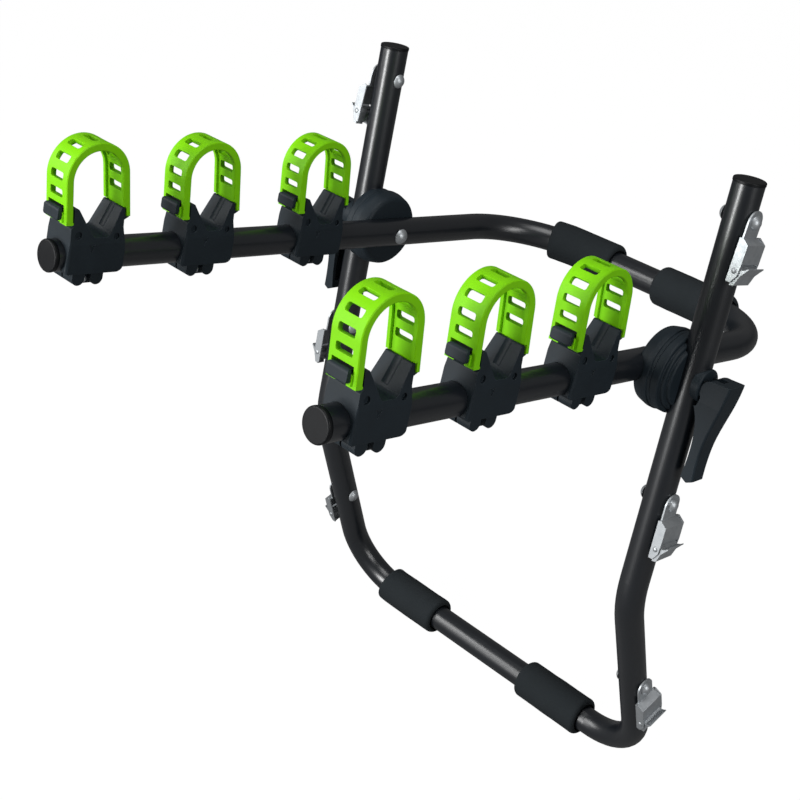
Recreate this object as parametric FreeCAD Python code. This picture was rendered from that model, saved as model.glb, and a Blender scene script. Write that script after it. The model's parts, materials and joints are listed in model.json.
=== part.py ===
"""Rear-door carrier for three bicycles.

A padded outer frame stands against the vehicle. A second U-shaped frame, which carries
the bicycles, turns inside it on two hubs and is locked by two cam levers.
Millimetres. X runs across the vehicle, +Y points at the vehicle and +Z up.
The origin is the middle of the lower padded bar.
"""
import FreeCAD
import Part
import math
import os

V = FreeCAD.Vector
os.makedirs("parts", exist_ok=True)

# Tube stock
TUBE_D = 28.0
TUBE_WALL = 1.5
TUBE_R = TUBE_D / 2

# Outer frame that rests on the vehicle
UPRIGHT_X = 213.5
UPRIGHT_TOP = 180.0
UPRIGHT_LEAN = 14.6
KINK_BELOW = 231.5
KINK_R = 108.0
LEG_LEAN = 11.0
LEG_LENGTH = 247.0
LOWER_CORNER_R = 65.0

# Inner frame that carries the bicycles
ARM_X = 171.0
ARM_RISE = 16.9
ARM_REACH = 410.0
ARM_REAR = 214.0
ARM_CORNER_R = 88.0

# Cradle stations along each arm, measured back from the tip
CRADLES_RIGHT = (297.0, 169.0, 45.0)
CRADLES_LEFT = (293.0, 155.0, 34.0)

# Foam sleeves
PAD_R = 21.5
PAD_LENGTH = 85.0
PAD_EDGE = 4.7
PAD_RECESS = 2.5
UPPER_PADS = (-77.0, 68.0)
LOWER_PADS = (-122.0, 98.0)

# Tube end fittings
PLUG_R = 14.3
PLUG_THICK = 4.5
PLUG_EDGE = 1.6
CAP_R = 14.4
CAP_THICK = 3.0
SPIGOT_LENGTH = 14.0
SPIGOT_FIT = 0.1

# Hub between arm and upright
HUB_R = 38.5
HUB_EDGE = 5.0
HUB_DRAFT = 3.0
HUB_LIP = 3.5
HUB_SPLIT = 8.0
DISC_R = 37.3
DISC_THICK = 3.0
OUTER_HUB_R = 37.5
HUB_STEPS = 3
HUB_STEP = 4.4
HUB_STEP_EDGE = 1.6
FACE_GAP = 0.1
SADDLE_FIT = 0.1
BORE_FIT = 0.06
BOLT_R = 4.0
BOLT_HEAD_R = 8.0
BOLT_HEAD_H = 5.6

# Cam lever
SEAT_R = 15.5
SEAT_THICK = 2.2
SEAT_WRAP = 8.0
SEAT_EDGE = 1.5
CAM_R = 11.3
CAM_THROW = 0.7
BARREL_R = 6.0
LEVER_TOP_WIDTH = 24.0
LEVER_END_WIDTH = 17.0
LEVER_TOP = 11.4
LEVER_NOSE = 16.2
LEVER_HEEL = 13.9
LEVER_EDGE = 2.2
LEVER_FORK_GAP = 9.2
LEVER_FOOT = 3.5
CAM_GAP = 0.15
CHEEK_SKIN = 2.6
LEVER_WALL = 3.0
POCKET_SPAN = (-78.0, -34.0)
# Grip section below the barrel: drop, inner face, outer face
GRIP_STATIONS = ((28.0, -9.3, 9.0), (50.0, -6.3, 4.9), (68.0, -6.8, 4.0), (85.0, -8.6, 4.6))

# Cradle, sizes in the arm's own frame with the tube axis at zero
CRADLE_HALF = 17.5
BLOCK_HALF = 14.0
CRADLE_FIT = 0.1
CRADLE_FRONT = -28.2
CRADLE_REAR = 29.5
CRADLE_BASE = -12.0
CRADLE_EDGE = 3.0
CLAMP_SHOULDER = 28.0
VALLEY_FLOOR = 19.8
VALLEY_FRONT = -5.4
VALLEY_REAR = 10.5
VALLEY_R = 5.0
HORN_TOP = 44.5
FRONT_HORN = (-25.6, -21.5)
REAR_HORN = (21.6, 24.6)
SIDE_CREASE = 14.0
NOTCH_HALF = 3.2
NOTCH_DROP = 7.5
NOTCH_DEPTH = 0.8
HOOK_HALF = 10.8
HOOK_OUT = -39.6
HOOK_IN = -36.0
HOOK_TOP = 45.5
HOOK_LOW = 34.0
HOOK_NECK = 9.0
HOOK_NECK_DEPTH = 4.0
LOBE_Z = -17.0
LOBE_R = 6.2
LOBE_SPAN = (-14.0, 4.5)
LOBE_INSET = 2.5
JAW_HALF = 9.0
CLAMP_SPLIT = 2.0
CLAMP_SCREW_R = 2.0
CLAMP_SCREW_Z = -19.5
DIMPLES = ((-20.6, 22.4, 3.4), (17.6, 20.2, 3.0))
DIMPLE_DEPTH = 3.2
GROOVE_R = 7.0
GROOVE_DEPTH = 1.1

# Strap
STRAP_HALF = 15.5
RIM_WIDTH = 4.0
RIM_DEPTH = 7.0
RUNG_DEPTH = 4.6
STRAP_EDGE = 0.8
ARCH_Y = -7.0
ARCH_Z = 70.5
ARCH_R = 31.0
FRONT_LEG_LEAN = 7.0
REAR_LEG_LEAN = 10.0
SLOT_HALF = 8.8
SLOT_HEIGHT = 7.0
SLOT_PITCH = 14.2
SLOT_COUNT = 9
SLOT_START = 56.8
STRAP_END = 37.0
STRAP_TOE = 31.0
TOE_REACH = 6.0
TOE_THICK = 2.6
STRAP_EYE_R = 4.4
STRAP_GAP = 0.4
AXLE_R = 2.2
AXLE_Y = 27.8
AXLE_Z = 39.0
AXLE_EAR = (10.4, 13.2)

# Cam buckle, sizes from the tube axis outwards and from its bolt down
BUCKLE_STATIONS_TOP = 150.0
BUCKLE_STATIONS_MID = -119.0
BUCKLE_STATION_LEG = 119.0
BUCKLE_SWING = 6.0
SHEET = 1.6
EYE_TAB_HALF = 10.5
FRAME_HALF = 14.5
BRIDGE_OUT = 24.0
BRIDGE_TOP = -17.0
BRIDGE_END = -34.0
PIN_OUT = 19.4
PIN_DOWN = -40.5
PIN_R = 1.5
CHEEK_END = -51.0
EYE_LIFT = 0.3
BUCKLE_BOLT_R = 3.0
DOME_R = 7.0
DOME_H = 4.6
CAM_SIDE_GAP = 0.4
THUMB_OUT = 31.0

PIVOT_Y = KINK_BELOW * math.sin(math.radians(UPRIGHT_LEAN)) - LEG_LENGTH * math.sin(math.radians(LEG_LEAN))
PIVOT_Z = KINK_BELOW * math.cos(math.radians(UPRIGHT_LEAN)) + LEG_LENGTH * math.cos(math.radians(LEG_LEAN))
PIVOT = V(0, PIVOT_Y, PIVOT_Z)


def save(name, shape):
    """Write one node."""
    shape.exportStep("parts/" + name + ".step")


def tilted(shape, degrees, origin):
    """Turn a shape about X and carry it to its place."""
    moved = shape.copy()
    turn = FreeCAD.Placement(origin, FreeCAD.Rotation(V(1, 0, 0), degrees))
    moved.Placement = turn.multiply(moved.Placement)
    return moved


def mirrored(shape):
    """The same piece for the other side of the carrier."""
    return shape.mirror(V(0, 0, 0), V(1, 0, 0))


def lean_up(degrees, length):
    """A vector of that length which leans towards the vehicle."""
    a = math.radians(degrees)
    return V(0, length * math.sin(a), length * math.cos(a))


def cylinder(radius, start, end):
    """A round bar between two points."""
    run = end.sub(start)
    return Part.makeCylinder(radius, run.Length, start, run)


def box(x0, x1, y0, y1, z0, z1):
    """A block between two corners."""
    return Part.makeBox(x1 - x0, y1 - y0, z1 - z0, V(x0, y0, z0))


def outline(corners, place):
    """A flat face; a corner with a third value is eased by that radius."""
    points = [place(corner[0], corner[1]) for corner in corners]
    count = len(points)
    ends = []
    for i, corner in enumerate(corners):
        if len(corner) == 3:
            ends.append(corner_arc(points[i - 1], points[i], points[(i + 1) % count], corner[2]))
        else:
            ends.append((points[i], None, points[i]))
    edges = []
    for i, (first, crown, last) in enumerate(ends):
        if crown:
            edges.append(Part.Arc(first, crown, last).toShape())
        following = ends[(i + 1) % count][0]
        if following.sub(last).Length > 1e-6:
            edges.append(Part.makeLine(last, following))
    return Part.Face(Part.Wire(edges))


def slab_yz(corners, x0, x1):
    """An outline in Y and Z, as thick as the span in X."""
    return outline(corners, lambda y, z: V(x0, y, z)).extrude(V(x1 - x0, 0, 0))


def slab_xz(corners, y0, y1):
    """An outline in X and Z, as thick as the span in Y."""
    return outline(corners, lambda x, z: V(x, y0, z)).extrude(V(0, y1 - y0, 0))


def slab_xy(corners, z0, z1):
    """An outline in X and Y, as thick as the span in Z."""
    return outline(corners, lambda x, y: V(x, y, z0)).extrude(V(0, 0, z1 - z0))


def edges_along(shape, axis, test):
    """Straight edges along one axis whose middle passes the test."""
    found = []
    for edge in shape.Edges:
        if len(edge.Vertexes) != 2:
            continue
        a, b = edge.Vertexes[0].Point, edge.Vertexes[1].Point
        run = b.sub(a)
        if run.Length > 0.5 and abs(abs(run.normalize().dot(axis)) - 1) < 1e-6 and test(a.add(b).multiply(0.5)):
            found.append(edge)
    return found


def corner_arc(before, corner, after, radius):
    """The arc that eases a corner: its first point, its crown and its last point."""
    back = before.sub(corner).normalize()
    ahead = after.sub(corner).normalize()
    half = math.acos(max(-1.0, min(1.0, back.dot(ahead)))) / 2
    reach = radius / math.tan(half)
    inward = V(back).add(ahead).normalize()
    crown = corner.add(inward.multiply(radius / math.sin(half) - radius))
    return corner.add(V(back).multiply(reach)), crown, corner.add(V(ahead).multiply(reach))


def bent_path(points, radii):
    """Straight runs joined by tangent arcs."""
    edges = []
    start = points[0]
    for i, radius in enumerate(radii):
        first, crown, last = corner_arc(points[i], points[i + 1], points[i + 2], radius)
        edges.append(Part.makeLine(start, first))
        edges.append(Part.Arc(first, crown, last).toShape())
        start = last
    edges.append(Part.makeLine(start, points[-1]))
    return Part.Wire(edges)


def bent_tube(path, radius):
    """A round bar along a bent path."""
    first = path.Edges[0]
    start = first.valueAt(first.FirstParameter)
    ring = Part.Wire([Part.makeCircle(radius, start, first.tangentAt(first.FirstParameter))])
    return path.makePipeShell([ring], True, False)


def hollow_tube(points, radii):
    """A bent tube with its wall."""
    path = bent_path(points, radii)
    return bent_tube(path, TUBE_R).cut(bent_tube(path, TUBE_R - TUBE_WALL))


def dome(radius, height, base, direction):
    """A low domed head whose flat face stands on the base point."""
    ball = (radius ** 2 + height ** 2) / (2 * height)
    axis = V(direction).normalize()
    centre = base.sub(V(axis).multiply(ball - height))
    cap = Part.makeSphere(ball, centre)
    return cap.common(Part.makeCylinder(radius, height + 1, base, axis))


# Places along the two frames
def on_upright(x, along):
    """A point on an upright's axis, measured up from the hub."""
    return PIVOT.add(lean_up(UPRIGHT_LEAN, along)).add(V(x, 0, 0))


KINK = on_upright(0, -KINK_BELOW)


def on_leg(x, down):
    """A point on a leg's axis, measured down from the kink."""
    return KINK.sub(lean_up(-LEG_LEAN, down)).add(V(x, 0, 0))


def on_arm(x, out):
    """A point on an arm's axis, measured from the hub towards the tip."""
    a = math.radians(ARM_RISE)
    return PIVOT.add(V(x, -out * math.cos(a), out * math.sin(a)))


def to_arm(shape, x, out):
    """Put a piece drawn in the arm's own frame on its station."""
    return tilted(shape, -ARM_RISE, on_arm(x, out))


def rest_tube():
    """The outer frame, bent from one tube and drilled for its bolts."""
    points = [on_upright(-UPRIGHT_X, UPRIGHT_TOP), on_upright(-UPRIGHT_X, -KINK_BELOW),
              on_leg(-UPRIGHT_X, LEG_LENGTH), on_leg(UPRIGHT_X, LEG_LENGTH),
              on_upright(UPRIGHT_X, -KINK_BELOW), on_upright(UPRIGHT_X, UPRIGHT_TOP)]
    tube = hollow_tube(points, [KINK_R, LOWER_CORNER_R, LOWER_CORNER_R, KINK_R])
    for side in (-1, 1):
        across = V(side * (UPRIGHT_X + TUBE_D), 0, 0)
        inside = V(side * (UPRIGHT_X - TUBE_D), 0, 0)
        tube = tube.cut(cylinder(BOLT_R + BORE_FIT, PIVOT.add(inside), PIVOT.add(across)))
        for station, lean in buckle_places():
            tube = tube.cut(cylinder(BUCKLE_BOLT_R + BORE_FIT, station.add(inside), station.add(across)))
    return tube


def arm_tube():
    """The inner frame, bent from one tube and drilled for the hub bolts."""
    points = [on_arm(-ARM_X, ARM_REACH), on_arm(-ARM_X, -ARM_REAR),
              on_arm(ARM_X, -ARM_REAR), on_arm(ARM_X, ARM_REACH)]
    tube = hollow_tube(points, [ARM_CORNER_R, ARM_CORNER_R])
    for side in (-1, 1):
        a = PIVOT.add(V(side * (ARM_X - TUBE_D), 0, 0))
        b = PIVOT.add(V(side * (ARM_X + TUBE_D), 0, 0))
        tube = tube.cut(cylinder(BOLT_R + BORE_FIT, a, b))
    return tube


def bar_point(x, centre, ahead, straight, radius):
    """A point on a cross bar's axis, on its straight run or on the bend that follows."""
    over = abs(x) - straight
    if over <= 0:
        return centre.add(V(x, 0, 0))
    turn = math.asin(over / radius)
    side = 1 if x > 0 else -1
    drop = V(ahead).multiply(radius * (1 - math.cos(turn)))
    return centre.add(V(side * (straight + radius * math.sin(turn)), 0, 0)).add(drop)


def bar_path(x0, x1, centre, ahead, straight, radius):
    """The stretch of a cross bar's axis between two places across the carrier."""
    stops = [x0] + [x for x in (-straight, straight) if x0 + 0.01 < x < x1 - 0.01] + [x1]
    edges = []
    for a, b in zip(stops, stops[1:]):
        ends = [bar_point(x, centre, ahead, straight, radius) for x in (a, (a + b) / 2, b)]
        if abs(a + b) / 2 > straight:
            edges.append(Part.Arc(*ends).toShape())
        else:
            edges.append(Part.makeLine(ends[0], ends[2]))
    return Part.Wire(edges)


def foam_pad(x, centre, ahead, straight, radius):
    """A foam sleeve that follows the bar, with rounded ends and a shallow recess round the tube."""
    path = bar_path(x - PAD_LENGTH / 2, x + PAD_LENGTH / 2, centre, ahead, straight, radius)
    first, last = path.Edges[0], path.Edges[-1]
    ends = (first.valueAt(first.FirstParameter), last.valueAt(last.LastParameter))
    sleeve = bent_tube(path, PAD_R).cut(bent_tube(path, TUBE_R + SADDLE_FIT))
    rims = [e for e in sleeve.Edges if min(e.CenterOfMass.sub(point).Length for point in ends) < 0.01]
    outer = [e for e in rims if e.Length > math.pi * (PAD_R + TUBE_R)]
    sleeve = sleeve.makeFillet(PAD_EDGE, outer)
    rims = [e for e in sleeve.Edges if min(e.CenterOfMass.sub(point).Length for point in ends) < 0.01]
    inner = [e for e in rims if e.Length < 2 * math.pi * (TUBE_R + SADDLE_FIT) + 0.1]
    return sleeve.makeFillet(PAD_RECESS, inner)


def tube_plug():
    """A round plug in an arm's tip, drawn on +Z with the tube's end at zero."""
    head = Part.makeCylinder(PLUG_R, PLUG_THICK)
    head = head.makeFillet(PLUG_EDGE, [e for e in head.Edges if e.Curve.TypeId == "Part::GeomCircle"])
    spigot = Part.makeCylinder(TUBE_R - TUBE_WALL - SPIGOT_FIT, SPIGOT_LENGTH, V(0, 0, -SPIGOT_LENGTH))
    return head.fuse(spigot).removeSplitter()


def tube_cap():
    """A flat cap on an upright's end, drawn on +Z with the tube's end at zero."""
    head = Part.makeCylinder(CAP_R, CAP_THICK)
    head = head.makeFillet(CAP_THICK / 3, [head.Edges[0]])
    spigot = Part.makeCylinder(TUBE_R - TUBE_WALL - SPIGOT_FIT, SPIGOT_LENGTH, V(0, 0, -SPIGOT_LENGTH))
    return head.fuse(spigot).removeSplitter()


# Hub stack, drawn for the +X side with the hub axis on X
INNER_FACE = UPRIGHT_X - TUBE_R
HUB_END = INNER_FACE - HUB_SPLIT
OUTER_START = HUB_END + DISC_THICK + 2 * FACE_GAP


def hub_bore(shape):
    """Drill a hub piece for its bolt."""
    a = V(ARM_X - TUBE_D, 0, 0)
    return shape.cut(cylinder(BOLT_R + BORE_FIT, a, V(UPRIGHT_X + 2 * TUBE_D, 0, 0)))


def turned(corners):
    """A body of revolution about X; the corners give places along X and radii."""
    return outline(corners, lambda x, r: V(x, 0, r)).revolve(V(0, 0, 0), V(1, 0, 0), 360)


def inner_hub():
    """The hub half on the arm: a drafted disc with a saddle that the tube lies in."""
    start = ARM_X + HUB_LIP
    disc = turned([(start, 0), (start, HUB_R - HUB_DRAFT, HUB_EDGE), (HUB_END - HUB_EDGE, HUB_R, HUB_EDGE),
                   (HUB_END, HUB_R, HUB_EDGE / 5), (HUB_END, 0)])
    reach = HUB_R * 2
    channel = cylinder(TUBE_R + SADDLE_FIT, V(ARM_X, -reach, 0), V(ARM_X, reach, 0))
    return hub_bore(disc.cut(channel))


def friction_disc():
    """The flat ring that the two hub halves grip."""
    return hub_bore(Part.makeCylinder(DISC_R, DISC_THICK, V(HUB_END + FACE_GAP, 0, 0), V(1, 0, 0)))


def outer_hub():
    """The hub half on the upright: its face rises in rounded steps, with a saddle along the tube."""
    end = UPRIGHT_X - HUB_LIP
    rise = (end - INNER_FACE) / HUB_STEPS
    corners = [(OUTER_START, 0), (OUTER_START, OUTER_HUB_R, HUB_EDGE / 5)]
    for i in range(HUB_STEPS):
        radius = OUTER_HUB_R - i * HUB_STEP
        x = INNER_FACE + (i + 1) * rise
        corners.append((x, radius, HUB_STEP_EDGE))
        if i < HUB_STEPS - 1:
            corners.append((x, radius - HUB_STEP, HUB_STEP_EDGE / 2))
    corners.append((end, 0))
    reach = HUB_R * 2
    channel = cylinder(TUBE_R + SADDLE_FIT, V(UPRIGHT_X, 0, -reach), V(UPRIGHT_X, 0, reach))
    return hub_bore(turned(corners).cut(channel))


# Cam lever, drawn for the +X side with Z up along the upright
SEAT_FACE = UPRIGHT_X + TUBE_R + SEAT_THICK
BARREL_X = SEAT_FACE + CAM_GAP + CAM_R + CAM_THROW


def lever_seat():
    """The saddle between the upright and the cam, hollowed for the tube."""
    start = UPRIGHT_X + SEAT_WRAP
    seat = Part.makeCylinder(SEAT_R, SEAT_FACE - start, V(start, 0, 0), V(1, 0, 0))
    rim = [e for e in seat.Edges if e.Curve.TypeId == "Part::GeomCircle" and e.CenterOfMass.x > start + 0.1]
    seat = seat.makeFillet(SEAT_EDGE, rim)
    seat = seat.cut(cylinder(TUBE_R + SADDLE_FIT, V(UPRIGHT_X, 0, -HUB_R), V(UPRIGHT_X, 0, HUB_R)))
    return hub_bore(seat)


def smooth_edge(points):
    """A flowing curve through points in X and Z."""
    curve = Part.BSplineCurve()
    curve.interpolate([V(x, 0, z) for x, z in points])
    return curve.toShape()


def straight_edges(points):
    """Straight edges through points in X and Z."""
    return [Part.makeLine(V(a[0], 0, a[1]), V(b[0], 0, b[1])) for a, b in zip(points, points[1:])]


def cam_lever():
    """The grip hangs along the upright; its forked, eccentric head turns on the barrel."""
    half = LEVER_TOP_WIDTH / 2
    seat_clear = SEAT_R + 0.5
    nose = (LEVER_NOSE, LEVER_TOP)
    heel = (-LEVER_HEEL, -seat_clear - 1)
    outer = [nose] + [(out, -drop) for drop, inn, out in GRIP_STATIONS]
    inner = [(inn, -drop) for drop, inn, out in reversed(GRIP_STATIONS)] + [heel]
    foot = ((outer[-1][0] + inner[0][0]) / 2, outer[-1][1] - LEVER_FOOT)
    top = (-CAM_R / 4, CAM_R - 1)
    neck = [heel, (-CAM_R - CAM_THROW + 0.4, -seat_clear), (-CAM_R + 1.8, -CAM_R * 0.6), top, nose]
    edges = [smooth_edge(outer)] + straight_edges([outer[-1], foot, inner[0]])
    edges += [smooth_edge(inner)] + straight_edges(neck)
    side = Part.Face(Part.Wire(edges)).extrude(V(0, 2 * half, 0))
    side.translate(V(BARREL_X, -half, 0))
    middle = V(BARREL_X - CAM_THROW, -half, -CAM_THROW)
    body = side.fuse(Part.makeCylinder(CAM_R, 2 * half, middle, V(0, 1, 0)))
    # the grip narrows towards its foot
    end = LEVER_END_WIDTH / 2
    low = foot[1] - 1
    start = BARREL_X - LEVER_NOSE - CAM_R
    taper = [(-half, LEVER_TOP + 3), (half, LEVER_TOP + 3), (half, -CAM_R), (end, low, LEVER_EDGE),
             (-end, low, LEVER_EDGE), (-half, -CAM_R)]
    front = outline(taper, lambda y, z: V(start, y, z))
    body = body.common(front.extrude(V(4 * LEVER_NOSE, 0, 0))).removeSplitter()
    # the long outer edges are rounded
    outside = [e for e in body.Edges if e.BoundBox.ZLength > LEVER_NOSE and e.CenterOfMass.x > BARREL_X]
    body = body.makeFillet(LEVER_EDGE, outside)
    # the grip is hollow towards the tube
    back, front_wall = POCKET_SPAN
    hollow = [(start, front_wall), (BARREL_X + GRIP_STATIONS[0][2] - LEVER_WALL - 1, front_wall, LEVER_WALL),
              (BARREL_X + GRIP_STATIONS[-1][2] - LEVER_WALL - 1, back, LEVER_WALL), (start, back)]
    body = body.cut(slab_xz(hollow, -end + LEVER_WALL, end - LEVER_WALL))
    fork = LEVER_FORK_GAP / 2
    body = body.cut(box(start, BARREL_X + fork, -fork, fork, -fork, LEVER_TOP + 5))
    # the barrel goes in from the back, so the front cheek stays closed
    bore = Part.makeCylinder(BARREL_R + BORE_FIT, 2 * half, V(BARREL_X, CHEEK_SKIN - half, 0), V(0, 1, 0))
    return body.cut(bore).removeSplitter()


def lever_barrel():
    """The cross barrel that the hub bolt screws into."""
    half = LEVER_TOP_WIDTH / 2
    start = CHEEK_SKIN + FACE_GAP - half
    barrel = Part.makeCylinder(BARREL_R, half - 0.5 - start, V(BARREL_X, start, 0), V(0, 1, 0))
    return barrel.cut(cylinder(BOLT_R, V(BARREL_X - CAM_R, 0, 0), V(BARREL_X + CAM_R, 0, 0)))


def pivot_bolt():
    """The hub bolt, from its domed head inside the arm to the barrel."""
    head_face = ARM_X - TUBE_R - FACE_GAP
    end = BARREL_X + math.sqrt(BARREL_R ** 2 - BOLT_R ** 2) - 0.4
    shank = cylinder(BOLT_R, V(head_face, 0, 0), V(end, 0, 0))
    head = dome(BOLT_HEAD_R, BOLT_HEAD_H, V(head_face, 0, 0), V(-1, 0, 0))
    return shank.fuse(head)


def cradle():
    """One bicycle cradle, drawn in the arm's frame with the tube axis on Y."""
    shoulder_y = FRONT_HORN[0]
    clamp = [(CRADLE_FRONT - 1.3, CRADLE_BASE, 3), (CRADLE_FRONT, CLAMP_SHOULDER, 2), (shoulder_y, CLAMP_SHOULDER + 3),
             (shoulder_y, HORN_TOP, 1.2), (FRONT_HORN[1], HORN_TOP, 1.2), (VALLEY_FRONT, VALLEY_FLOOR, VALLEY_R),
             (VALLEY_REAR, VALLEY_FLOOR, VALLEY_R), (REAR_HORN[0], HORN_TOP, 1.2), (REAR_HORN[1], HORN_TOP, 1.5),
             (REAR_HORN[1] - 0.4, CLAMP_SHOULDER, 4), (CRADLE_REAR, 0), (CRADLE_REAR - 1, CRADLE_BASE, 8)]
    body = slab_yz(clamp, -CRADLE_HALF, CRADLE_HALF)
    front, rear = CRADLE_FRONT - 1.3, CRADLE_REAR
    plan = [(-CRADLE_HALF, front, CRADLE_EDGE), (CRADLE_HALF, front, CRADLE_EDGE), (CRADLE_HALF, rear, CRADLE_EDGE),
            (-CRADLE_HALF, rear, CRADLE_EDGE)]
    body = body.common(slab_xy(plan, CRADLE_BASE - 1, HORN_TOP + 1))
    # the sides lean in from a crease to the horns; each has two dimples and a small notch under the valley
    notch_y = VALLEY_FRONT - 1
    side_cuts = []
    for side in (-1, 1):
        lean = [(side * CRADLE_HALF, SIDE_CREASE), (side * BLOCK_HALF, HORN_TOP), (side * BLOCK_HALF, HORN_TOP + 2),
                (side * (CRADLE_HALF + 2), HORN_TOP + 2), (side * (CRADLE_HALF + 2), SIDE_CREASE)]
        side_cuts.append(slab_xz(lean, CRADLE_FRONT - 2, CRADLE_REAR + 2))
        for y, z, radius in DIMPLES:
            start = V(side * (CRADLE_HALF - DIMPLE_DEPTH), y, z)
            side_cuts.append(Part.makeCylinder(radius, DIMPLE_DEPTH + 1, start, V(side, 0, 0)))
        x0, x1 = sorted((side * (CRADLE_HALF - NOTCH_DEPTH), side * (CRADLE_HALF + 1)))
        side_cuts.append(slab_yz([(notch_y - NOTCH_HALF, SIDE_CREASE), (notch_y, SIDE_CREASE - NOTCH_DROP),
                                  (notch_y + NOTCH_HALF, SIDE_CREASE), (notch_y, SIDE_CREASE - 2)], x0, x1))
    # a shallow groove runs down the valley's rear face
    low, high = V(0, VALLEY_REAR, VALLEY_FLOOR), V(0, REAR_HORN[0], HORN_TOP)
    slope = high.sub(low).normalize()
    lift = V(0, -slope.z, slope.y).multiply(GROOVE_R - GROOVE_DEPTH)
    groove = cylinder(GROOVE_R, low.add(lift).add(V(slope).multiply(VALLEY_R)), high.add(lift).add(V(slope).multiply(VALLEY_R)))
    side_cuts.append(groove)
    body = body.cut(side_cuts)
    # hook nose and its neck
    neck = slab_yz([(shoulder_y + 1, HOOK_TOP - 1.2), (shoulder_y + 1, HOOK_TOP - HOOK_NECK_DEPTH),
                    (HOOK_IN - 1, HOOK_TOP - HOOK_NECK_DEPTH), (HOOK_IN - 1, HOOK_TOP - 0.6)], -HOOK_NECK, HOOK_NECK)
    nose = slab_yz([(HOOK_IN, HOOK_TOP), (HOOK_IN, HOOK_LOW, 1), (HOOK_OUT, HOOK_LOW, 1.5), (HOOK_OUT, HOOK_TOP, 3)],
                   -HOOK_HALF, HOOK_HALF)
    face = slab_xz([(-HOOK_HALF, HOOK_LOW, 3), (HOOK_HALF, HOOK_LOW, 3), (HOOK_HALF, HOOK_TOP, 3),
                    (-HOOK_HALF, HOOK_TOP, 3)], HOOK_OUT - 1, HOOK_IN + 1)
    parts = [neck, nose.common(face)]
    # clamping lobes below the tube
    reach = CRADLE_HALF - LOBE_INSET
    for y in LOBE_SPAN:
        parts.append(Part.makeCylinder(LOBE_R, 2 * reach, V(-reach, y, LOBE_Z), V(1, 0, 0)))
        parts.append(box(-reach, reach, y - LOBE_R, y + LOBE_R, LOBE_Z, LOBE_Z / 2))
    parts.append(box(-JAW_HALF, JAW_HALF, LOBE_SPAN[0], LOBE_SPAN[1], CLAMP_SCREW_Z - 4, LOBE_Z / 2))
    body = body.fuse(parts)
    # pocket for the strap's eye, then its axle between two ears
    body = body.cut(Part.makeCylinder(STRAP_EYE_R + STRAP_GAP, 2 * AXLE_EAR[0], V(-AXLE_EAR[0], AXLE_Y, AXLE_Z), V(1, 0, 0)))
    ears = []
    for side in (-1, 1):
        x0, x1 = sorted(side * x for x in AXLE_EAR)
        tip = AXLE_Y + AXLE_R + 0.6
        ears.append(slab_yz([(REAR_HORN[0], AXLE_Z + 4), (REAR_HORN[0], AXLE_Z - 8), (tip, AXLE_Z - 3, 2),
                             (tip, AXLE_Z + 3, 2), (REAR_HORN[1], AXLE_Z + 4)], x0, x1))
    ears.append(Part.makeCylinder(AXLE_R, 2 * AXLE_EAR[0] + 2, V(-AXLE_EAR[0] - 1, AXLE_Y, AXLE_Z), V(1, 0, 0)))
    body = body.fuse(ears)
    long = 4 * CRADLE_REAR
    bore = cylinder(TUBE_R + CRADLE_FIT, V(0, -long, 0), V(0, long, 0))
    split = box(-CLAMP_SPLIT / 2, CLAMP_SPLIT / 2, -long, long, -long, -TUBE_R + 1)
    screw = cylinder(CLAMP_SCREW_R + BORE_FIT, V(-long, screw_y(), CLAMP_SCREW_Z), V(long, screw_y(), CLAMP_SCREW_Z))
    return body.cut([bore, split, screw]).removeSplitter()


def screw_y():
    """The clamp screw lies between the two lobes."""
    return (LOBE_SPAN[0] + LOBE_SPAN[1]) / 2


def clamp_screw():
    """Cross screw with its head on one side and a square nut on the other."""
    y = screw_y()
    face = JAW_HALF
    shank = cylinder(CLAMP_SCREW_R, V(-face - 6, y, CLAMP_SCREW_Z), V(face + 0.1, y, CLAMP_SCREW_Z))
    head = dome(2.9, 2.4, V(face + 0.1, y, CLAMP_SCREW_Z), V(1, 0, 0))
    return shank.fuse(head)


def clamp_nut():
    """The nut of the clamp screw."""
    y = screw_y()
    face = JAW_HALF
    nut = box(-face - 3.3, -face - 0.1, y - 2.8, y + 2.8, CLAMP_SCREW_Z - 3.2, CLAMP_SCREW_Z + 3.2)
    return nut.cut(cylinder(CLAMP_SCREW_R, V(-40, y, CLAMP_SCREW_Z), V(40, y, CLAMP_SCREW_Z)))


def leg_point(side, radius, z):
    """A point on a leg of the arch at a height, on the curve of that radius."""
    lean = math.radians(FRONT_LEG_LEAN if side < 0 else REAR_LEG_LEAN)
    y = ARCH_Y + side * radius * math.cos(lean)
    top = ARCH_Z + side * radius * math.sin(lean)
    return V(0, y + (top - z) * math.tan(lean), z)


def leg_top(side, radius):
    """The height at which a leg of the arch runs into the crown."""
    return ARCH_Z + side * radius * math.sin(math.radians(FRONT_LEG_LEAN if side < 0 else REAR_LEG_LEAN))


def strap_side(depth, foot):
    """The arch seen from the side, from its outer curve inwards by the depth."""
    inside = ARCH_R - depth
    outer = [leg_point(side, ARCH_R, leg_top(side, ARCH_R)) for side in (-1, 1)]
    inner = [leg_point(side, inside, leg_top(side, inside)) for side in (-1, 1)]
    edges = [Part.Arc(outer[0], V(0, ARCH_Y, ARCH_Z + ARCH_R), outer[1]).toShape(),
             Part.Arc(inner[0], V(0, ARCH_Y, ARCH_Z + inside), inner[1]).toShape()]
    for i, (side, end) in enumerate(((-1, foot), (1, STRAP_END))):
        low_out, low_in = leg_point(side, ARCH_R, end), leg_point(side, inside, end)
        edges.append(Part.makeLine(outer[i], low_out))
        edges.append(Part.makeLine(low_out, low_in))
        edges.append(Part.makeLine(low_in, inner[i]))
    return Part.Face(Part.Wire(Part.__sortEdges__(edges)))


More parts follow.
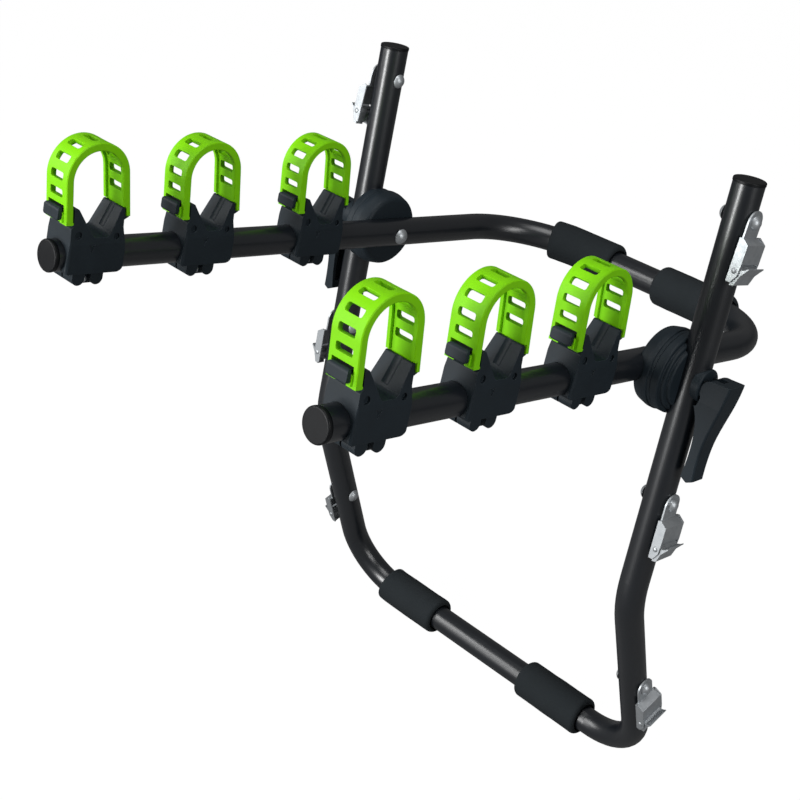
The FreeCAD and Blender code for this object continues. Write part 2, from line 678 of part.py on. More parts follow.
def slot_cutter(index):
    """One slot of the ladder, counted from the hook end along the band's middle."""
    middle = ARCH_R - RUNG_DEPTH / 2
    front, rear = math.radians(FRONT_LEG_LEAN), math.radians(REAR_LEG_LEAN)
    leg = (leg_top(-1, middle) - SLOT_START) / math.cos(front)
    crown = middle * (math.pi + front - rear)
    travel = index * SLOT_PITCH
    half = SLOT_HEIGHT / 2
    cutter = box(-SLOT_HALF, SLOT_HALF, -2 * RUNG_DEPTH, 2 * RUNG_DEPTH, -half, half)
    cutter = cutter.makeFillet(half * 0.55, edges_along(cutter, V(0, 1, 0), lambda m: True))
    if travel < leg:
        turn = -front
        place = leg_point(-1, middle, SLOT_START + travel * math.cos(front))
    elif travel < leg + crown:
        turn = (travel - leg) / middle - front
        place = V(0, ARCH_Y - middle * math.cos(turn), ARCH_Z + middle * math.sin(turn))
    else:
        turn = math.pi - rear
        place = leg_point(1, middle, leg_top(1, middle) - (travel - leg - crown) * math.cos(rear))
    cutter.rotate(V(0, 0, 0), V(1, 0, 0), -math.degrees(turn))
    cutter.translate(place)
    return cutter


def strap():
    """Ladder strap: two rims joined by rungs, an eye at the rear and a bar that the hook holds."""
    inner = STRAP_HALF - RIM_WIDTH
    rims = []
    for side in (-1, 1):
        x0 = inner if side > 0 else -STRAP_HALF
        rim = strap_side(RIM_DEPTH, STRAP_TOE).extrude(V(RIM_WIDTH, 0, 0))
        rim.translate(V(x0, 0, 0))
        edge = [e for e in rim.Edges if abs(e.BoundBox.Center.x - side * STRAP_HALF) + e.BoundBox.XLength < 0.01]
        rim = rim.makeChamfer(STRAP_EDGE, edge)
        foot = leg_point(-1, ARCH_R, STRAP_TOE)
        toe = slab_yz([(foot.y, STRAP_TOE), (foot.y + RIM_DEPTH, STRAP_TOE, 1), (foot.y + RIM_DEPTH, STRAP_TOE + TOE_THICK, 1),
                       (foot.y, STRAP_TOE + TOE_THICK)], inner - TOE_REACH, STRAP_HALF)
        rims += [rim, toe if side > 0 else mirrored(toe)]
    band = strap_side(RUNG_DEPTH, HOOK_TOP + 2).extrude(V(2 * inner, 0, 0))
    band.translate(V(-inner, 0, 0))
    band = band.cut([slot_cutter(i) for i in range(SLOT_COUNT)])
    # the bar that sits behind the hook's nose
    behind = HOOK_IN + STRAP_GAP
    low = HOOK_LOW - 1.5
    high = HOOK_TOP - HOOK_NECK_DEPTH - STRAP_GAP
    bar = slab_yz([(behind, low, 1.2), (behind + 4.4, low, 1.2), (behind + 4.4, high, 1.2), (behind, high, 1.2)], -inner, inner)
    eye = Part.makeCylinder(STRAP_EYE_R, 2 * AXLE_EAR[0] - 0.8, V(0.4 - AXLE_EAR[0], AXLE_Y, AXLE_Z), V(1, 0, 0))
    body = band.fuse(rims + [bar, eye])
    long = 2 * AXLE_EAR[0] - 0.4
    body = body.cut(Part.makeCylinder(AXLE_R + 0.3, long, V(-long / 2, AXLE_Y, AXLE_Z), V(1, 0, 0)))
    # room for the ears and for the rear horn
    reach = AXLE_Y + AXLE_R + 0.6 + STRAP_GAP
    ears = box(-AXLE_EAR[1] - STRAP_GAP, STRAP_GAP - AXLE_EAR[0] - 0.1, AXLE_Y - 9, reach, AXLE_Z - 8, AXLE_Z + 5)
    horn = slab_yz([(VALLEY_REAR, STRAP_END - 1), (REAR_HORN[1] + 1.4 + STRAP_GAP, STRAP_END - 1),
                    (REAR_HORN[1] + STRAP_GAP, HORN_TOP), (REAR_HORN[1] + STRAP_GAP, HORN_TOP + 1),
                    (VALLEY_REAR, HORN_TOP + 1)], AXLE_EAR[0], STRAP_HALF + 1)
    return body.cut([ears, mirrored(ears), horn, mirrored(horn)]).removeSplitter()


def buckle_places():
    """Bolt positions on one side, with the lean of the tube there."""
    return [(on_upright(0, BUCKLE_STATIONS_TOP), UPRIGHT_LEAN),
            (on_upright(0, BUCKLE_STATIONS_MID), UPRIGHT_LEAN),
            (on_leg(0, BUCKLE_STATION_LEG), -LEG_LEAN)]


def buckle_frame():
    """Stamped buckle frame: eye tab, step, bridge and two cheeks."""
    t = SHEET
    foot = TUBE_R + EYE_LIFT
    side = [(foot, 0), (foot + t, 0), (foot + t, -13), (BRIDGE_OUT, BRIDGE_TOP), (BRIDGE_OUT, BRIDGE_END),
            (BRIDGE_OUT - t, BRIDGE_END), (BRIDGE_OUT - t, BRIDGE_TOP - 0.8), (foot, -14)]
    lower = slab_xz(side, -FRAME_HALF, FRAME_HALF)
    shoulder = 4.0
    for way in (-1, 1):
        y0, y1 = sorted((way * EYE_TAB_HALF, way * (FRAME_HALF + 1)))
        lower = lower.cut(box(foot - 1, foot + t + shoulder, y0, y1, -13.2, 1))
    eye = Part.makeCylinder(EYE_TAB_HALF, t, V(foot, 0, 0), V(1, 0, 0))
    frame = lower.fuse(eye)
    cheek = [(foot + 0.2, -13), (foot + t + 1.5, -12.2), (BRIDGE_OUT - 0.4, BRIDGE_TOP + 0.4), (BRIDGE_OUT, BRIDGE_END),
             (PIN_OUT + 3.6, PIN_DOWN - 4), (foot + 4.4, CHEEK_END), (foot + 0.6, CHEEK_END), (foot + 0.2, CHEEK_END + 1)]
    for way in (-1, 1):
        y0, y1 = sorted((way * (FRAME_HALF - t), way * FRAME_HALF))
        plate = slab_xz(cheek, y0, y1)
        plate = plate.cut(Part.makeCylinder(PIN_R + 0.02, 3 * t, V(PIN_OUT, y0 - t, PIN_DOWN), V(0, 1, 0)))
        frame = frame.fuse(plate)
    bolt = cylinder(BUCKLE_BOLT_R + 0.1, V(0, 0, 0), V(60, 0, 0))
    return frame.cut(bolt).removeSplitter()


def buckle_pin():
    """The rivet that the cam turns on."""
    reach = FRAME_HALF + 0.1
    pin = Part.makeCylinder(PIN_R, 2 * reach, V(PIN_OUT, -reach, PIN_DOWN), V(0, 1, 0))
    for way in (-1, 1):
        pin = pin.fuse(dome(2.6, 1.1, V(PIN_OUT, way * reach, PIN_DOWN), V(0, way, 0)))
    return pin


def buckle_cam():
    """The sprung cam: toothed nose towards the bridge and a flared thumb lip."""
    half = FRAME_HALF - SHEET - CAM_SIDE_GAP
    outline = [(PIN_OUT - 3.4, PIN_DOWN), (PIN_OUT - 2.4, PIN_DOWN + 3.0), (PIN_OUT + 0.2, PIN_DOWN + 4.4)]
    teeth = 3
    for i in range(teeth):
        outline.append((PIN_OUT + 0.6 + i * 1.1, PIN_DOWN + 5.4 - i * 0.5))
        outline.append((PIN_OUT + 1.5 + i * 1.1, PIN_DOWN + 4.2 - i * 0.5))
    outline += [(PIN_OUT + 5.0, PIN_DOWN + 1.8), (PIN_OUT + 8.6, PIN_DOWN + 3.2), (THUMB_OUT - 0.4, PIN_DOWN + 5.4),
                (THUMB_OUT, PIN_DOWN + 4.4), (PIN_OUT + 9.0, PIN_DOWN + 1.2), (PIN_OUT + 5.6, PIN_DOWN - 3.4),
                (PIN_OUT + 2.6, PIN_DOWN - 12.4), (PIN_OUT - 1.6, PIN_DOWN - 13.2), (PIN_OUT - 0.6, PIN_DOWN - 9),
                (PIN_OUT - 1.6, PIN_DOWN - 4)]
    cam = slab_xz(outline, -half, half)
    spring_gap = box(PIN_OUT - 6, PIN_OUT + 2.6, -3, 3, PIN_DOWN - 14, PIN_DOWN + 3.2)
    cam = cam.cut(spring_gap)
    return cam.cut(Part.makeCylinder(PIN_R + 0.05, 4 * half, V(PIN_OUT, -2 * half, PIN_DOWN), V(0, 1, 0)))


def buckle_bolt():
    """Bolt through the tube, with a domed head on the inside."""
    inner = -TUBE_R - 0.1
    shank = cylinder(BUCKLE_BOLT_R, V(inner, 0, 0), V(TUBE_R + EYE_LIFT + SHEET + 0.1, 0, 0))
    return shank.fuse(dome(DOME_R, DOME_H, V(inner, 0, 0), V(-1, 0, 0)))


def buckle_nut():
    """Domed nut over the buckle's eye."""
    face = TUBE_R + EYE_LIFT + SHEET + 0.1
    return dome(DOME_R - 0.4, DOME_H + 0.4, V(face, 0, 0), V(1, 0, 0))


def main():
    """Build every node and write it."""
    save("rest_tube", rest_tube())
    save("arm_tube", arm_tube())
    lower_bar = (V(0, 0, 0), lean_up(-LEG_LEAN, 1), UPRIGHT_X - LOWER_CORNER_R, LOWER_CORNER_R)
    forward = on_arm(0, 1).sub(on_arm(0, 0))
    upper_bar = (on_arm(0, -ARM_REAR), forward, ARM_X - ARM_CORNER_R, ARM_CORNER_R)
    for name, x in zip(("left", "right"), LOWER_PADS):
        save("lower_pad_" + name, foam_pad(x, *lower_bar))
    for name, x in zip(("left", "right"), UPPER_PADS):
        save("upper_pad_" + name, foam_pad(x, *upper_bar))

    plug, cap = tube_plug(), tube_cap()
    sides = (("left", -1), ("right", 1))
    for name, side in sides:
        save("arm_plug_" + name, tilted(plug, 90 - ARM_RISE, on_arm(side * ARM_X, ARM_REACH)))
        save("upright_cap_" + name, tilted(cap, -UPRIGHT_LEAN, on_upright(side * UPRIGHT_X, UPRIGHT_TOP)))

    on_arm_hub = (("inner_hub_", inner_hub()),)
    on_upright_hub = (("friction_disc_", friction_disc()), ("outer_hub_", outer_hub()),
                      ("lever_seat_", lever_seat()), ("cam_lever_", cam_lever()),
                      ("lever_barrel_", lever_barrel()))
    for name, side in sides:
        for lean, group in ((ARM_RISE, on_arm_hub), (UPRIGHT_LEAN, on_upright_hub)):
            for label, piece in group:
                placed = piece if side > 0 else mirrored(piece)
                save(label + name, tilted(placed, -lean, PIVOT))
    bolt = pivot_bolt()
    save("pivot_bolts", Part.makeCompound([tilted(bolt, 0, PIVOT), tilted(mirrored(bolt), 0, PIVOT)]))

    body, band = cradle(), strap()
    screw, nut = clamp_screw(), clamp_nut()
    screws, nuts = [], []
    for name, side in sides:
        stations = CRADLES_RIGHT if side > 0 else CRADLES_LEFT
        for number, back in enumerate(stations, 1):
            tag = "_%s_%d" % (name, number)
            out = ARM_REACH - back
            save("cradle" + tag, to_arm(body, side * ARM_X, out))
            save("strap" + tag, to_arm(band, side * ARM_X, out))
            screws.append(to_arm(screw, side * ARM_X, out))
            nuts.append(to_arm(nut, side * ARM_X, out))
    save("clamp_screws", Part.makeCompound(screws))
    save("clamp_nuts", Part.makeCompound(nuts))

    pieces = (("buckle_frame", buckle_frame()), ("buckle_pin", buckle_pin()), ("buckle_cam", buckle_cam()))
    bolt, nut = buckle_bolt(), buckle_nut()
    bolts, nuts = [], []
    for name, side in sides:
        for place, (station, lean) in zip(("top", "middle", "low"), buckle_places()):
            at = station.add(V(side * UPRIGHT_X, 0, 0))
            turn = -lean - (BUCKLE_SWING if place == "top" else 0)
            for label, piece in pieces:
                placed = piece if side > 0 else mirrored(piece)
                save("%s_%s_%s" % (label, name, place), tilted(placed, turn, at))
            bolts.append(tilted(bolt if side > 0 else mirrored(bolt), turn, at))
            nuts.append(tilted(nut if side > 0 else mirrored(nut), turn, at))
    save("buckle_bolts", Part.makeCompound(bolts))
    save("buckle_nuts", Part.makeCompound(nuts))


main()
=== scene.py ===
"""Rear-door carrier for three bicycles: its finishes, foam sleeves, light and camera.

Everything is in metres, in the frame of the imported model: +X across the vehicle, +Y towards it, +Z up,
with the middle of the lower padded bar at the origin.
"""

import json
import logging
import math
from dataclasses import dataclass, field
from enum import Enum

import bpy
from mathutils import Matrix, Vector, noise


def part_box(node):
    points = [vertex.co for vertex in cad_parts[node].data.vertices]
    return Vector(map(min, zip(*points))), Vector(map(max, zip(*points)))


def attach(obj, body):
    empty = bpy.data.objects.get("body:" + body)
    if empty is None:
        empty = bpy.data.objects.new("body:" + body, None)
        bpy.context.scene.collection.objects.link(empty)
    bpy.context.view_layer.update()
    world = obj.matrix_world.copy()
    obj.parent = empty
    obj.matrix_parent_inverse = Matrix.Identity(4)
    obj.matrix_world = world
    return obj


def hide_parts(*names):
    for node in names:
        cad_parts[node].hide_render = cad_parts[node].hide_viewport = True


LOG = logging.getLogger("carrier")
MM = 0.001
TUBE_R = 0.014
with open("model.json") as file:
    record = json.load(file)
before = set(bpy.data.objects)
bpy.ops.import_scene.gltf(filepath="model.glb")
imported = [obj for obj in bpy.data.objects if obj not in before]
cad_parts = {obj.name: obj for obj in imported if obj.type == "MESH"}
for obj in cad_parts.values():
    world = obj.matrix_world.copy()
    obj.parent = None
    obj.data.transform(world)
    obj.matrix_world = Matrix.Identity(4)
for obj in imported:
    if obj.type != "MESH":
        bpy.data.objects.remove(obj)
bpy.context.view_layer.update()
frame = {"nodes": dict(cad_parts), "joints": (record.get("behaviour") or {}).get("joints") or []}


def linear(hex_colour: str) -> tuple[float, float, float, float]:
    """Turns an sRGB hex colour into the linear values that a shader takes.

    Args:
        hex_colour: six hex digits, such as "1D1F21".

    Returns:
        Linear red, green, blue and an alpha of 1.
    """
    parts = [int(hex_colour[i:i + 2], 16) / 255 for i in (0, 2, 4)]
    red, green, blue = (p / 12.92 if p <= 0.04045 else ((p + 0.055) / 1.055) ** 2.4 for p in parts)
    return red, green, blue, 1.0


def per_metre(size_mm: float) -> float:
    """Turns the size of a pattern's cell in millimetres into a texture scale."""
    return 1.0 / (size_mm * MM)


def add(tree: bpy.types.NodeTree, kind: str, settings: dict[str | int, object] | None = None,
        links: dict[str | int, bpy.types.NodeSocket] | None = None) -> bpy.types.Node:
    """Adds a node with its settings and links.

    Args:
        tree: the node tree it goes in.
        kind: the node's type name.
        settings: node properties or input values, by name or input number.
        links: output sockets to join to its inputs, by name or input number.

    Returns:
        The new node.
    """
    node = tree.nodes.new(kind)
    for key, value in (settings or {}).items():
        if isinstance(key, str) and hasattr(node, key):
            setattr(node, key, value)
        else:
            node.inputs[key].default_value = value
    for key, source in (links or {}).items():
        tree.links.new(source, node.inputs[key])
    return node


class Grain(Enum):
    """The surface texture that the making leaves."""

    ORANGE_PEEL = "orange peel"
    SPARK_ERODED = "spark eroded"
    CELLS = "cells"
    ROLLED = "rolled"
    GLOSS = "gloss"


GRAIN_DETAIL = {Grain.ORANGE_PEEL: 1.0, Grain.SPARK_ERODED: 3.0, Grain.GLOSS: 0.0}
ROLL_STRETCH = (1.0, 1.0, 0.15)


@dataclass(frozen=True)
class Finish:
    """A finish: what it is, its colours and how it takes light.

    Args:
        title: the maker's name for it, which the material carries.
        colour: its main colour.
        second: the colour it drifts to in patches.
        roughness: roughness of the even surface.
        spread: how far roughness drifts up and down.
        grain: the texture that the making leaves.
        grain_mm: size of the grain's cells.
        grain_depth_mm: height of the grain.
        patch_mm: size of the colour patches.
        metallic: 1 for bare metal, a little less under a plated film.
        ior: index of refraction of a coating or plastic.
        specular: strength of its reflection, 0.5 for a plain coating.
        soft_mm: how far moulded or pressed edges look rounded, 0 for none.
        edge: colour of the painted highlight on edges, where the edges look rounded.
        highlight_start: cosine of the turn in the rounded surface at which the painted highlight starts to
            show.
        highlight_full: cosine of the turn at which it shows in full.
        highlight_share: how much of the painted highlight colour shows then.
    """

    title: str
    colour: str
    second: str
    roughness: float
    spread: float
    grain: Grain
    grain_mm: float
    grain_depth_mm: float
    patch_mm: float
    metallic: float = 0.0
    ior: float = 1.5
    specular: float = 0.5
    soft_mm: float = 0.0
    # Painted highlight on rounded edges: its colour and where it fades in.
    edge: str = ""
    highlight_start: float = 0.995
    highlight_full: float = 0.8
    highlight_share: float = 0.6

    def build(self) -> bpy.types.Material:
        """Makes the material.

        Returns:
            The material, ready to go on an object.
        """
        material = bpy.data.materials.new(self.title)
        material.use_nodes = True
        tree = material.node_tree
        tree.nodes.clear()
        where = add(tree, "ShaderNodeTexCoord").outputs["Object"]
        patches = add(tree, "ShaderNodeTexNoise",
                      {"Scale": per_metre(self.patch_mm), "Detail": 3.0, "Roughness": 0.6}, {"Vector": where})
        colour = add(tree, "ShaderNodeMix",
                     {"data_type": "RGBA", 6: linear(self.colour), 7: linear(self.second)},
                     {0: patches.outputs["Fac"]})
        shade = colour.outputs[2]
        relief = {"Height": self.height(tree, where)}
        if self.soft_mm > 0:
            rounded = add(tree, "ShaderNodeBevel", {"samples": 4, "Radius": self.soft_mm * MM}).outputs[0]
            relief["Normal"] = rounded
            # Painted highlight: edges turn paler where the rounded normal leaves the true one.
            shade = self.paint_edge_highlight(tree, shade, rounded)
        bump = add(tree, "ShaderNodeBump", {"Strength": 1.0, "Distance": self.grain_depth_mm * MM}, relief)
        rough = add(tree, "ShaderNodeMapRange",
                    {"To Min": self.roughness - self.spread, "To Max": self.roughness + self.spread},
                    {"Value": patches.outputs["Fac"]})
        shader = add(tree, "ShaderNodeBsdfPrincipled",
                     {"Metallic": self.metallic, "Specular IOR Level": self.specular},
                     {"Base Color": shade, "Roughness": rough.outputs["Result"],
                      "Normal": bump.outputs["Normal"]})
        if self.metallic < 0.5:
            shader.inputs["IOR"].default_value = self.ior
        add(tree, "ShaderNodeOutputMaterial", links={"Surface": shader.outputs["BSDF"]})
        return material

    def paint_edge_highlight(self, tree: bpy.types.NodeTree, shade: bpy.types.NodeSocket,
            rounded: bpy.types.NodeSocket) -> bpy.types.NodeSocket:
        """Adds the nodes that paint a highlight on rounded edges.

        Args:
            tree: the material's node tree.
            shade: the colour of the even surface.
            rounded: the normal with rounded edges, which leaves the true one only near an edge.

        Returns:
            The socket that gives the colour with its painted edge highlight.
        """
        true = add(tree, "ShaderNodeNewGeometry").outputs["Normal"]
        turn = add(tree, "ShaderNodeVectorMath", {"operation": "DOT_PRODUCT"}, {0: rounded, 1: true})
        near = add(tree, "ShaderNodeMapRange",
                   {"From Min": self.highlight_start, "From Max": self.highlight_full,
                    "To Min": 0.0, "To Max": self.highlight_share},
                   {"Value": turn.outputs["Value"]})
        mix = add(tree, "ShaderNodeMix", {"data_type": "RGBA", 7: linear(self.edge)},
                  {0: near.outputs["Result"], 6: shade})
        return mix.outputs[2]

    def height(self, tree: bpy.types.NodeTree, where: bpy.types.NodeSocket) -> bpy.types.NodeSocket:
        """Adds the nodes that draw the grain.

        Args:
            tree: the material's node tree.
            where: the surface position.

        Returns:
            The socket that gives the grain's height.
        """
        scale = per_metre(self.grain_mm)
        if self.grain is Grain.CELLS:
            cells = add(tree, "ShaderNodeTexVoronoi", {"Scale": scale, "Randomness": 1.0}, {"Vector": where})
            return cells.outputs["Distance"]
        if self.grain is Grain.ROLLED:
            stretch = add(tree, "ShaderNodeMapping", {"Scale": ROLL_STRETCH}, {"Vector": where})
            lines = add(tree, "ShaderNodeTexNoise", {"Scale": scale, "Detail": 2.0},
                        {"Vector": stretch.outputs[0]})
            return lines.outputs["Fac"]
        ripple = add(tree, "ShaderNodeTexNoise", {"Scale": scale, "Detail": GRAIN_DETAIL[self.grain]},
                     {"Vector": where})
        return ripple.outputs["Fac"]


# Polyester powder coat, sprayed and baked on steel tube: satin black with a fine orange peel that breaks the
# edge of each highlight.
POWDER_COAT = Finish("powder_coated_steel_tube", "0A0E13", "10151B", 0.31, 0.03, Grain.ORANGE_PEEL,
                     grain_mm=1.4, grain_depth_mm=0.0035, patch_mm=45, specular=0.9)
# Glass-filled nylon, injection moulded in spark-eroded tools: charcoal with a dull, slightly blue sheen and
# a painted highlight that makes its edges paler.
MOULDED_NYLON = Finish("moulded_black_nylon", "151D23", "1D272E", 0.52, 0.06, Grain.SPARK_ERODED,
                       grain_mm=0.7, grain_depth_mm=0.02, patch_mm=18, specular=0.24, soft_mm=0.7,
                       edge="3C454C")
# Low-density polyethylene, injection moulded in polished tools: blacker and a little smoother than the nylon.
# Its edges carry a painted highlight.
CAP_PLASTIC = Finish("moulded_black_polyethylene", "08090B", "0D0F12", 0.45, 0.05, Grain.GLOSS,
                     grain_mm=2.5, grain_depth_mm=0.01, patch_mm=15, specular=0.2, soft_mm=0.5, edge="2A2E31")
# Thermoplastic rubber, injection moulded: vivid green with a soft gloss and a painted highlight that makes
# its rims paler.
STRAP_RUBBER = Finish("moulded_green_rubber", "7FD200", "74C400", 0.5, 0.05, Grain.GLOSS,
                      grain_mm=3.0, grain_depth_mm=0.02, patch_mm=12, specular=0.2, soft_mm=0.6,
                      edge="94E414")
# Closed-cell EVA foam, extruded as a sleeve: dead matt, with cells that show close up (drawn larger than the
# real 0.3 mm so that the render catches them).
CELL_FOAM = Finish("closed_cell_foam", "1A1F22", "212629", 0.92, 0.04, Grain.CELLS,
                   grain_mm=0.9, grain_depth_mm=0.12, patch_mm=14, specular=0.25)
# Bright zinc on stamped steel: grey-white with rolled grain and cloudy patches from the plating bath.
# Its edges carry a painted highlight.
BRIGHT_ZINC = Finish("bright_zinc_steel", "C6CACD", "9DA2A6", 0.46, 0.08, Grain.ROLLED,
                     grain_mm=0.8, grain_depth_mm=0.02, patch_mm=6, metallic=0.8, soft_mm=0.25, edge="E0E3E5")


def dress(names: list[str], material: bpy.types.Material) -> None:
    """Puts one material on CAD nodes.

    Args:
        names: the nodes.
        material: what they get.
    """
    for name in names:
        mesh = frame["nodes"][name].data
        mesh.materials.clear()
        mesh.materials.append(material)
    LOG.info("dressed %d nodes in %s", len(names), material.name)


def straight_half(tube: str, bend: float) -> float:
    """Finds half the straight run of a bent tube's cross bar.

    Args:
        tube: the tube's CAD node.
        bend: radius of the bends at the bar's ends.

    Returns:
        Distance from the bar's middle to where the bends begin.
    """
    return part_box(tube)[1][0] - TUBE_R - bend


@dataclass
class FoamSleeve:
    """A foam sleeve pushed over a cross bar, following the bar on to its bend.

    Args:
        node: the CAD node it stands for.
        body: the body it rides on.
        centre: middle of the bar's axis.
        ahead: direction in which the bar's ends bend away.
        straight: half the bar's straight run.
        bend: radius of the bends.
        spread: how far the waviness differs from one sleeve to the next.
        length: its length across the carrier.
        radius: its outside radius.
        rounding: radius of its outer edges.
        recess: how far each end's dish reaches out from the tube.
        depth: how deep the dish goes.
        knee: where the dish turns outward, as shares of its depth and its reach.
        curl: how far the dish's mouth curls in, as a share of its reach.
        gap: clearance round the tube.
        swell: long waves of the skin, as waves per metre and height.
        dimple: short waves of the skin, as waves per metre and height.
        settle: how far the skin lies below its nominal radius, so that the waves stay within the size.
        around: points round a ring.
        edge_rings: rings on each rounded edge.
        body_rings: steps along the body.

    Attributes:
        place: the sleeve's middle across the carrier.
    """

    node: str
    body: str
    centre: Vector
    ahead: Vector
    straight: float
    bend: float
    spread: float
    length: float = 0.085
    radius: float = 0.0215
    rounding: float = 0.0047
    recess: float = 0.0036
    depth: float = 0.006
    knee: tuple[float, float] = (0.45, 0.55)
    curl: float = 0.4
    gap: float = 0.0001
    swell: tuple[float, float] = (38.0, 0.00035)
    dimple: tuple[float, float] = (120.0, 0.00012)
    settle: float = 0.0002
    around: int = 96
    edge_rings: int = 9
    body_rings: int = 34
    place: float = field(init=False)

    def __post_init__(self) -> None:
        """Finds the sleeve's place from the inner end of its CAD node, which is on the bar's straight run."""
        low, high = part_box(self.node)
        self.place = low[0] + self.length / 2 if low[0] > 0 else high[0] - self.length / 2

    def axis_at(self, run: float) -> tuple[Vector, Vector]:
        """Finds the bar's axis at a distance along it from its middle.

        Args:
            run: signed distance along the axis.

        Returns:
            The point, and the direction of the axis there.
        """
        over = abs(run) - self.straight
        side = 1.0 if run > 0 else -1.0
        if over <= 0:
            return self.centre + Vector((run, 0, 0)), Vector((1, 0, 0))
        turn = over / self.bend
        reach = side * (self.straight + self.bend * math.sin(turn))
        point = self.centre + Vector((reach, 0, 0)) + self.ahead * (self.bend * (1 - math.cos(turn)))
        return point, Vector((math.cos(turn), 0, 0)) + self.ahead * (side * math.sin(turn))

    def run_to(self, across: float) -> float:
        """Turns a place across the carrier into a distance along the axis.

        Args:
            across: place along X.

        Returns:
            Signed distance along the axis.
        """
        over = abs(across) - self.straight
        side = 1.0 if across > 0 else -1.0
        return across if over <= 0 else side * (self.straight + self.bend * math.asin(over / self.bend))

    def end_section(self) -> list[tuple[float, float]]:
        """Lays out one end's section, from inside its dish out to the body.

        Returns:
            Pairs of depth below the sleeve's end and radius.
        """
        lip = TUBE_R + self.recess
        section = [(self.depth, TUBE_R + self.gap),
                   (self.depth * self.knee[0], TUBE_R + self.recess * self.knee[1])]
        for degrees in (60, 75, 90):
            turn = math.radians(degrees)
            inward = self.recess * (1 - math.cos(turn)) * self.curl
            section.append((self.recess * (1 - math.sin(turn)), lip - inward))
        last = self.edge_rings - 1
        for step in range(last, -1, -1):
            turn = math.radians(90 * step / last)
            inward = self.rounding * (1 - math.cos(turn))
            section.append((self.rounding * (1 - math.sin(turn)), self.radius - inward))
        return section

    def outline(self) -> list[tuple[float, float]]:
        """Lays out the sleeve's section, from inside one dish round to inside the other.

        Returns:
            Pairs of distance along the axis and radius.
        """
        start = self.run_to(self.place - self.length / 2)
        end = self.run_to(self.place + self.length / 2)
        section = self.end_section()
        span = end - start - 2 * self.rounding
        near = [(start + depth, radius) for depth, radius in section]
        steps = range(1, self.body_rings)
        body = [(start + self.rounding + span * i / self.body_rings, self.radius) for i in steps]
        far = [(end - depth, radius) for depth, radius in reversed(section)]
        return near + body + far

    def ring(self, run: float, radius: float) -> list[Vector]:
        """Lays out one ring of the skin with its slight waviness.

        Args:
            run: distance along the axis.
            radius: distance from the axis.

        Returns:
            The ring's points.
        """
        point, along = self.axis_at(run)
        normal = along.cross(self.ahead).normalized()
        inward = normal.cross(along).normalized()
        seed = self.place * self.spread
        free = min(1.0, max(0.0, (radius - TUBE_R) / (self.radius - TUBE_R)))
        points = []
        for k in range(self.around):
            angle = math.tau * k / self.around
            out = inward * math.cos(angle) + normal * math.sin(angle)
            spot = point + out * radius
            wave = noise.noise(spot * self.swell[0] + Vector((seed, 0, 0))) * self.swell[1]
            wave += noise.noise(spot * self.dimple[0] + Vector((0, seed, 0))) * self.dimple[1]
            points.append(spot + out * (wave - self.settle) * free)
        return points

    def build(self, material: bpy.types.Material) -> bpy.types.Object:
        """Makes the sleeve's mesh and sets it on its body.

        Args:
            material: the foam.

        Returns:
            The new object.
        """
        rings = [self.ring(run, radius) for run, radius in self.outline()]
        verts = [tuple(point) for ring in rings for point in ring]
        faces = []
        for i in range(len(rings)):
            a, b = i * self.around, (i + 1) % len(rings) * self.around
            for k in range(self.around):
                beside = (k + 1) % self.around
                faces.append((a + k, a + beside, b + beside, b + k))
        mesh = bpy.data.meshes.new(self.node + "_foam")
        mesh.from_pydata(verts, [], faces)
        mesh.validate()
        mesh.update()
        mesh.polygons.foreach_set("use_smooth", [True] * len(mesh.polygons))
        mesh.materials.append(material)
        piece = bpy.data.objects.new(self.node + "_foam", mesh)
        bpy.context.scene.collection.objects.link(piece)
        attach(piece, self.body)
        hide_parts(self.node)
        LOG.info("foam sleeve for %s: %d faces", self.node, len(faces))
        return piece


@dataclass
class RestFrame:
    """The outer frame that stands against the vehicle.

    Args:
        bend: radius of the bends beside the lower bar.
        leg_lean: how far the legs lean away from the vehicle as they rise, in degrees.
        spread: how far the sleeves' waviness differs from side to side.
    """

    bend: float = 0.065
    leg_lean: float = 11.0
    spread: float = 90.0

    def dress(self, steel: bpy.types.Material, caps: bpy.types.Material) -> None:
        """Puts the tube's and caps' finishes on."""
        dress(["rest_tube"], steel)
        dress(["upright_cap_left", "upright_cap_right"], caps)

    def add_sleeves(self, foam: bpy.types.Material) -> None:
        """Puts both foam sleeves on the lower bar.

        Args:
            foam: their material.
        """
        lean = math.radians(self.leg_lean)
        ahead = Vector((0, -math.sin(lean), math.cos(lean)))
        straight = straight_half("rest_tube", self.bend)
        for side in ("left", "right"):
            FoamSleeve("lower_pad_" + side, "rest_frame", Vector((0, 0, 0)), ahead, straight, self.bend,
                       self.spread).build(foam)


@dataclass
class ArmFrame:
    """The inner frame that carries the bicycles.

    Args:
        bend: radius of the bends beside the closed bar.
        rise: how far the arms rise away from the vehicle, in degrees.
        rear: distance from the hubs' axis back to the closed bar.
        spread: how far the sleeves' waviness differs from side to side.
    """

    bend: float = 0.088
    rise: float = 16.9
    rear: float = 0.214
    spread: float = 70.0

    def dress(self, steel: bpy.types.Material, caps: bpy.types.Material) -> None:
        """Puts the tube's and plugs' finishes on."""
        dress(["arm_tube"], steel)
        dress(["arm_plug_left", "arm_plug_right"], caps)

    def add_sleeves(self, foam: bpy.types.Material) -> None:
        """Puts both foam sleeves on the closed end of the arms.

        Args:
            foam: their material.
        """
        rise = math.radians(self.rise)
        ahead = Vector((0, -math.cos(rise), math.sin(rise)))
        hub = next(Vector(joint["pos_m"]) for joint in frame["joints"] if joint["name"] == "arm_fold")
        straight = straight_half("arm_tube", self.bend)
        for side in ("left", "right"):
            FoamSleeve("upper_pad_" + side, "arm_frame", hub - ahead * self.rear, ahead, straight, self.bend,
                       self.spread).build(foam)


